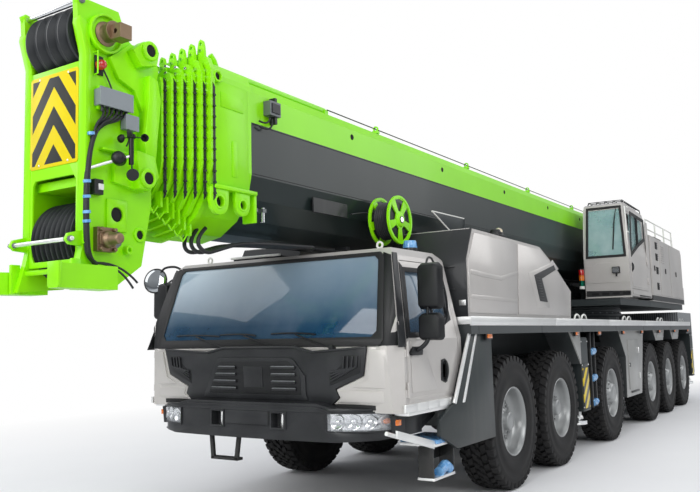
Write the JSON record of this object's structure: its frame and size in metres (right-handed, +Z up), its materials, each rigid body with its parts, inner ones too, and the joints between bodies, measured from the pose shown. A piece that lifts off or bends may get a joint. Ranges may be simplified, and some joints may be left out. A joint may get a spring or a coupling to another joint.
{
  "type": "mobile crane",
  "caption": "Six-axle all-terrain mobile crane with a telescopic boom, driver and operator cabs, outriggers and steering, folded for the road.",
  "frame": {"origin": "centre of the bounding box at ground level, on the crane's centre plane", "axes": "+X forwards along the boom in its road position, +Y to the crane's left, +Z up"},
  "size_m": [16.4876, 3.48, 3.8733],
  "materials": {
    "lime_paint": "glossy lime green enamel over welded high-tensile steel plate",
    "dark_paint": "satin dark grey chassis enamel",
    "silver_paint": "silver-grey metallic cab paint",
    "black_plastic": "charcoal moulded plastic with a fine grain; also the nylon sheaves",
    "tyre_rubber": "black off-road radial rubber on a silver-grey disc wheel",
    "bright_steel": "ground and chromed piston rod",
    "engine_iron": "painted grey iron",
    "tinted_glass": "blue-grey tinted laminated glass"
  },
  "bodies": {
    "carrier": {"chassis_frame": "dark_paint", "deck_and_lockers": "dark_paint", "driver_cab": "silver_paint", "windscreen": "tinted_glass", "bumper": "black_plastic", "engine_hood": "silver_paint", "engine_block": "engine_iron", "front_axles": "dark_paint", "rear_axles": "dark_paint"},
    "wheel_1_left": {"wheel_1_left": "tyre_rubber"},
    "knuckle_1_left": {"knuckle_1_left": "dark_paint"},
    "wheel_1_right": {"wheel_1_right": "tyre_rubber"},
    "knuckle_1_right": {"knuckle_1_right": "dark_paint"},
    "wheel_2_left": {"wheel_2_left": "tyre_rubber"},
    "knuckle_2_left": {"knuckle_2_left": "dark_paint"},
    "wheel_2_right": {"wheel_2_right": "tyre_rubber"},
    "knuckle_2_right": {"knuckle_2_right": "dark_paint"},
    "wheel_3_left": {"wheel_3_left": "tyre_rubber"},
    "knuckle_3_left": {"knuckle_3_left": "dark_paint"},
    "wheel_3_right": {"wheel_3_right": "tyre_rubber"},
    "knuckle_3_right": {"knuckle_3_right": "dark_paint"},
    "wheel_4_left": {"wheel_4_left": "tyre_rubber"},
    "wheel_4_right": {"wheel_4_right": "tyre_rubber"},
    "wheel_5_left": {"wheel_5_left": "tyre_rubber"},
    "knuckle_5_left": {"knuckle_5_left": "dark_paint"},
    "wheel_5_right": {"wheel_5_right": "tyre_rubber"},
    "knuckle_5_right": {"knuckle_5_right": "dark_paint"},
    "wheel_6_left": {"wheel_6_left": "tyre_rubber"},
    "knuckle_6_left": {"knuckle_6_left": "dark_paint"},
    "wheel_6_right": {"wheel_6_right": "tyre_rubber"},
    "knuckle_6_right": {"knuckle_6_right": "dark_paint"},
    "outrigger_front_left": {"outrigger_front_left": "dark_paint"},
    "jack_front_left": {"jack_front_left": "bright_steel"},
    "outrigger_front_right": {"outrigger_front_right": "dark_paint"},
    "jack_front_right": {"jack_front_right": "bright_steel"},
    "outrigger_rear_left": {"outrigger_rear_left": "dark_paint"},
    "jack_rear_left": {"jack_rear_left": "bright_steel"},
    "outrigger_rear_right": {"outrigger_rear_right": "dark_paint"},
    "jack_rear_right": {"jack_rear_right": "bright_steel"},
    "cab_door_left": {"cab_door_left": "silver_paint", "mirror_left": "black_plastic"},
    "cab_door_right": {"cab_door_right": "silver_paint", "mirror_right": "black_plastic"},
    "superstructure": {"slewing_platform": "dark_paint", "operator_cab": "silver_paint", "machinery_house": "silver_paint"},
    "operator_door": {"operator_door": "silver_paint"},
    "winch_drum": {"winch_drum": "dark_paint"},
    "boom_base": {"boom_base": "lime_paint"},
    "boom_section_2": {"boom_section_2": "lime_paint"},
    "boom_section_3": {"boom_section_3": "lime_paint"},
    "boom_section_4": {"boom_section_4": "lime_paint"},
    "boom_section_5": {"boom_section_5": "lime_paint"},
    "boom_section_6": {"boom_section_6": "lime_paint"},
    "boom_head": {"boom_head": "lime_paint"},
    "top_sheaves": {"top_sheaves": "black_plastic"},
    "bottom_sheaves": {"bottom_sheaves": "black_plastic"},
    "hose_reel": {"hose_reel": "lime_paint"},
    "lift_cylinder": {"lift_cylinder": "dark_paint"},
    "lift_rod": {"lift_rod": "bright_steel"}
  },
  "joints": [
    {"name": "steer_1_left", "type": "hinge", "parent": "carrier", "child": "knuckle_1_left", "pos_m": [3.35617, 0.93, 0.685], "axis": [0, 0, 1], "range_deg": [-33, 33]},
    {"name": "roll_1_left", "type": "hinge", "parent": "knuckle_1_left", "child": "wheel_1_left", "pos_m": [3.35617, 1.2375, 0.685], "axis": [0, 1, 0], "continuous": true},
    {"name": "steer_1_right", "type": "hinge", "parent": "carrier", "child": "knuckle_1_right", "pos_m": [3.35617, -0.93, 0.685], "axis": [0, 0, 1], "range_deg": [-33, 33]},
    {"name": "roll_1_right", "type": "hinge", "parent": "knuckle_1_right", "child": "wheel_1_right", "pos_m": [3.35617, -1.2375, 0.685], "axis": [0, 1, 0], "continuous": true},
    {"name": "steer_2_left", "type": "hinge", "parent": "carrier", "child": "knuckle_2_left", "pos_m": [1.75617, 0.93, 0.685], "axis": [0, 0, 1], "range_deg": [-26.4, 26.4]},
    {"name": "roll_2_left", "type": "hinge", "parent": "knuckle_2_left", "child": "wheel_2_left", "pos_m": [1.75617, 1.2375, 0.685], "axis": [0, 1, 0], "continuous": true},
    {"name": "steer_2_right", "type": "hinge", "parent": "carrier", "child": "knuckle_2_right", "pos_m": [1.75617, -0.93, 0.685], "axis": [0, 0, 1], "range_deg": [-26.4, 26.4]},
    {"name": "roll_2_right", "type": "hinge", "parent": "knuckle_2_right", "child": "wheel_2_right", "pos_m": [1.75617, -1.2375, 0.685], "axis": [0, 1, 0], "continuous": true},
    {"name": "steer_3_left", "type": "hinge", "parent": "carrier", "child": "knuckle_3_left", "pos_m": [-0.69383, 0.93, 0.685], "axis": [0, 0, 1], "range_deg": [-14.85, 14.85]},
    {"name": "roll_3_left", "type": "hinge", "parent": "knuckle_3_left", "child": "wheel_3_left", "pos_m": [-0.69383, 1.2375, 0.685], "axis": [0, 1, 0], "continuous": true},
    {"name": "steer_3_right", "type": "hinge", "parent": "carrier", "child": "knuckle_3_right", "pos_m": [-0.69383, -0.93, 0.685], "axis": [0, 0, 1], "range_deg": [-14.85, 14.85]},
    {"name": "roll_3_right", "type": "hinge", "parent": "knuckle_3_right", "child": "wheel_3_right", "pos_m": [-0.69383, -1.2375, 0.685], "axis": [0, 1, 0], "continuous": true},
    {"name": "roll_4_left", "type": "hinge", "parent": "carrier", "child": "wheel_4_left", "pos_m": [-3.49383, 1.2375, 0.685], "axis": [0, 1, 0], "continuous": true},
    {"name": "roll_4_right", "type": "hinge", "parent": "carrier", "child": "wheel_4_right", "pos_m": [-3.49383, -1.2375, 0.685], "axis": [0, 1, 0], "continuous": true},
    {"name": "steer_5_left", "type": "hinge", "parent": "carrier", "child": "knuckle_5_left", "pos_m": [-5.09383, 0.93, 0.685], "axis": [0, 0, 1], "range_deg": [-8.58, 8.58]},
    {"name": "roll_5_left", "type": "hinge", "parent": "knuckle_5_left", "child": "wheel_5_left", "pos_m": [-5.09383, 1.2375, 0.685], "axis": [0, 1, 0], "continuous": true},
    {"name": "steer_5_right", "type": "hinge", "parent": "carrier", "child": "knuckle_5_right", "pos_m": [-5.09383, -0.93, 0.685], "axis": [0, 0, 1], "range_deg": [-8.58, 8.58]},
    {"name": "roll_5_right", "type": "hinge", "parent": "knuckle_5_right", "child": "wheel_5_right", "pos_m": [-5.09383, -1.2375, 0.685], "axis": [0, 1, 0], "continuous": true},
    {"name": "steer_6_left", "type": "hinge", "parent": "carrier", "child": "knuckle_6_left", "pos_m": [-6.69383, 0.93, 0.685], "axis": [0, 0, 1], "range_deg": [-16.83, 16.83]},
    {"name": "roll_6_left", "type": "hinge", "parent": "knuckle_6_left", "child": "wheel_6_left", "pos_m": [-6.69383, 1.2375, 0.685], "axis": [0, 1, 0], "continuous": true},
    {"name": "steer_6_right", "type": "hinge", "parent": "carrier", "child": "knuckle_6_right", "pos_m": [-6.69383, -0.93, 0.685], "axis": [0, 0, 1], "range_deg": [-16.83, 16.83]},
    {"name": "roll_6_right", "type": "hinge", "parent": "knuckle_6_right", "child": "wheel_6_right", "pos_m": [-6.69383, -1.2375, 0.685], "axis": [0, 1, 0], "continuous": true},
    {"name": "extend_front_left", "type": "slide", "parent": "carrier", "child": "outrigger_front_left", "axis": [0, 1, 0], "range_m": [0, 1.6]},
    {"name": "lower_front_left", "type": "slide", "parent": "outrigger_front_left", "child": "jack_front_left", "axis": [0, 0, -1], "range_m": [0, 0.55]},
    {"name": "extend_front_right", "type": "slide", "parent": "carrier", "child": "outrigger_front_right", "axis": [0, -1, 0], "range_m": [0, 1.6]},
    {"name": "lower_front_right", "type": "slide", "parent": "outrigger_front_right", "child": "jack_front_right", "axis": [0, 0, -1], "range_m": [0, 0.55]},
    {"name": "extend_rear_left", "type": "slide", "parent": "carrier", "child": "outrigger_rear_left", "axis": [0, 1, 0], "range_m": [0, 1.6]},
    {"name": "lower_rear_left", "type": "slide", "parent": "outrigger_rear_left", "child": "jack_rear_left", "axis": [0, 0, -1], "range_m": [0, 0.55]},
    {"name": "extend_rear_right", "type": "slide", "parent": "carrier", "child": "outrigger_rear_right", "axis": [0, -1, 0], "range_m": [0, 1.6]},
    {"name": "lower_rear_right", "type": "slide", "parent": "outrigger_rear_right", "child": "jack_rear_right", "axis": [0, 0, -1], "range_m": [0, 0.55]},
    {"name": "open_cab_door_left", "type": "hinge", "parent": "carrier", "child": "cab_door_left", "pos_m": [5.65317, 1.413, 1.3], "axis": [0, 0, -1], "range_deg": [0, 70]},
    {"name": "open_cab_door_right", "type": "hinge", "parent": "carrier", "child": "cab_door_right", "pos_m": [5.65317, -1.413, 1.3], "axis": [0, 0, 1], "range_deg": [0, 70]},
    {"name": "slew", "type": "hinge", "parent": "carrier", "child": "superstructure", "pos_m": [-3.24383, 0, 1.9], "axis": [0, 0, 1], "continuous": true},
    {"name": "open_operator_door", "type": "hinge", "parent": "superstructure", "child": "operator_door", "pos_m": [-3.54883, 1.453, 2.6], "axis": [0, 0, 1], "range_deg": [0, 80]},
    {"name": "winch_turn", "type": "hinge", "parent": "superstructure", "child": "winch_drum", "pos_m": [-6.90383, 0, 2.52], "axis": [0, 1, 0], "continuous": true},
    {"name": "luff", "type": "hinge", "parent": "superstructure", "child": "boom_base", "pos_m": [-5.94383, 0, 3.1], "axis": [0, -1, 0], "range_deg": [0, 82]},
    {"name": "telescope_2", "type": "slide", "parent": "boom_base", "child": "boom_section_2", "axis": [0.9999, 0, -0.0131], "range_m": [0, 9.4]},
    {"name": "telescope_3", "type": "slide", "parent": "boom_section_2", "child": "boom_section_3", "axis": [0.9999, 0, -0.0131], "range_m": [0, 9.4]},
    {"name": "telescope_4", "type": "slide", "parent": "boom_section_3", "child": "boom_section_4", "axis": [0.9999, 0, -0.0131], "range_m": [0, 9.4]},
    {"name": "telescope_5", "type": "slide", "parent": "boom_section_4", "child": "boom_section_5", "axis": [0.9999, 0, -0.0131], "range_m": [0, 9.4]},
    {"name": "telescope_6", "type": "slide", "parent": "boom_section_5", "child": "boom_section_6", "axis": [0.9999, 0, -0.0131], "range_m": [0, 9.4]},
    {"name": "telescope_7", "type": "slide", "parent": "boom_section_6", "child": "boom_head", "axis": [0.9999, 0, -0.0131], "range_m": [0, 9.4]},
    {"name": "top_sheaves_turn", "type": "hinge", "parent": "boom_head", "child": "top_sheaves", "pos_m": [7.78455, 0, 3.65035], "axis": [0, 1, 0], "continuous": true},
    {"name": "bottom_sheaves_turn", "type": "hinge", "parent": "boom_head", "child": "bottom_sheaves", "pos_m": [7.65647, 0, 2.26991], "axis": [0, 1, 0], "continuous": true},
    {"name": "hose_reel_turn", "type": "hinge", "parent": "boom_base", "child": "hose_reel", "pos_m": [4.60197, 0.7, 2.71002], "axis": [0, 1, 0], "continuous": true},
    {"name": "lift_cylinder_swing", "type": "hinge", "parent": "superstructure", "child": "lift_cylinder", "pos_m": [-3.79383, 0, 2.32], "axis": [0, -1, 0], "range_deg": [0, 95.2]},
    {"name": "lift_rod_extend", "type": "slide", "parent": "lift_cylinder", "child": "lift_rod", "axis": [1, 0, -0.0081], "range_m": [0, 2.7832]}
  ],
  "couplings": [
    {"joint": "steer_1_right", "follows": "steer_1_left", "ratio": 1},
    {"joint": "steer_2_left", "follows": "steer_1_left", "ratio": 0.8},
    {"joint": "steer_2_right", "follows": "steer_1_left", "ratio": 0.8},
    {"joint": "steer_3_left", "follows": "steer_1_left", "ratio": 0.45},
    {"joint": "steer_3_right", "follows": "steer_1_left", "ratio": 0.45},
    {"joint": "steer_5_left", "follows": "steer_1_left", "ratio": -0.26},
    {"joint": "steer_5_right", "follows": "steer_1_left", "ratio": -0.26},
    {"joint": "steer_6_left", "follows": "steer_1_left", "ratio": -0.51},
    {"joint": "steer_6_right", "follows": "steer_1_left", "ratio": -0.51},
    {"joint": "lift_cylinder_swing", "follows": "luff", "ratio": 1.1608},
    {"joint": "lift_rod_extend", "follows": "luff", "m_per_rad": 1.944}
  ]
}
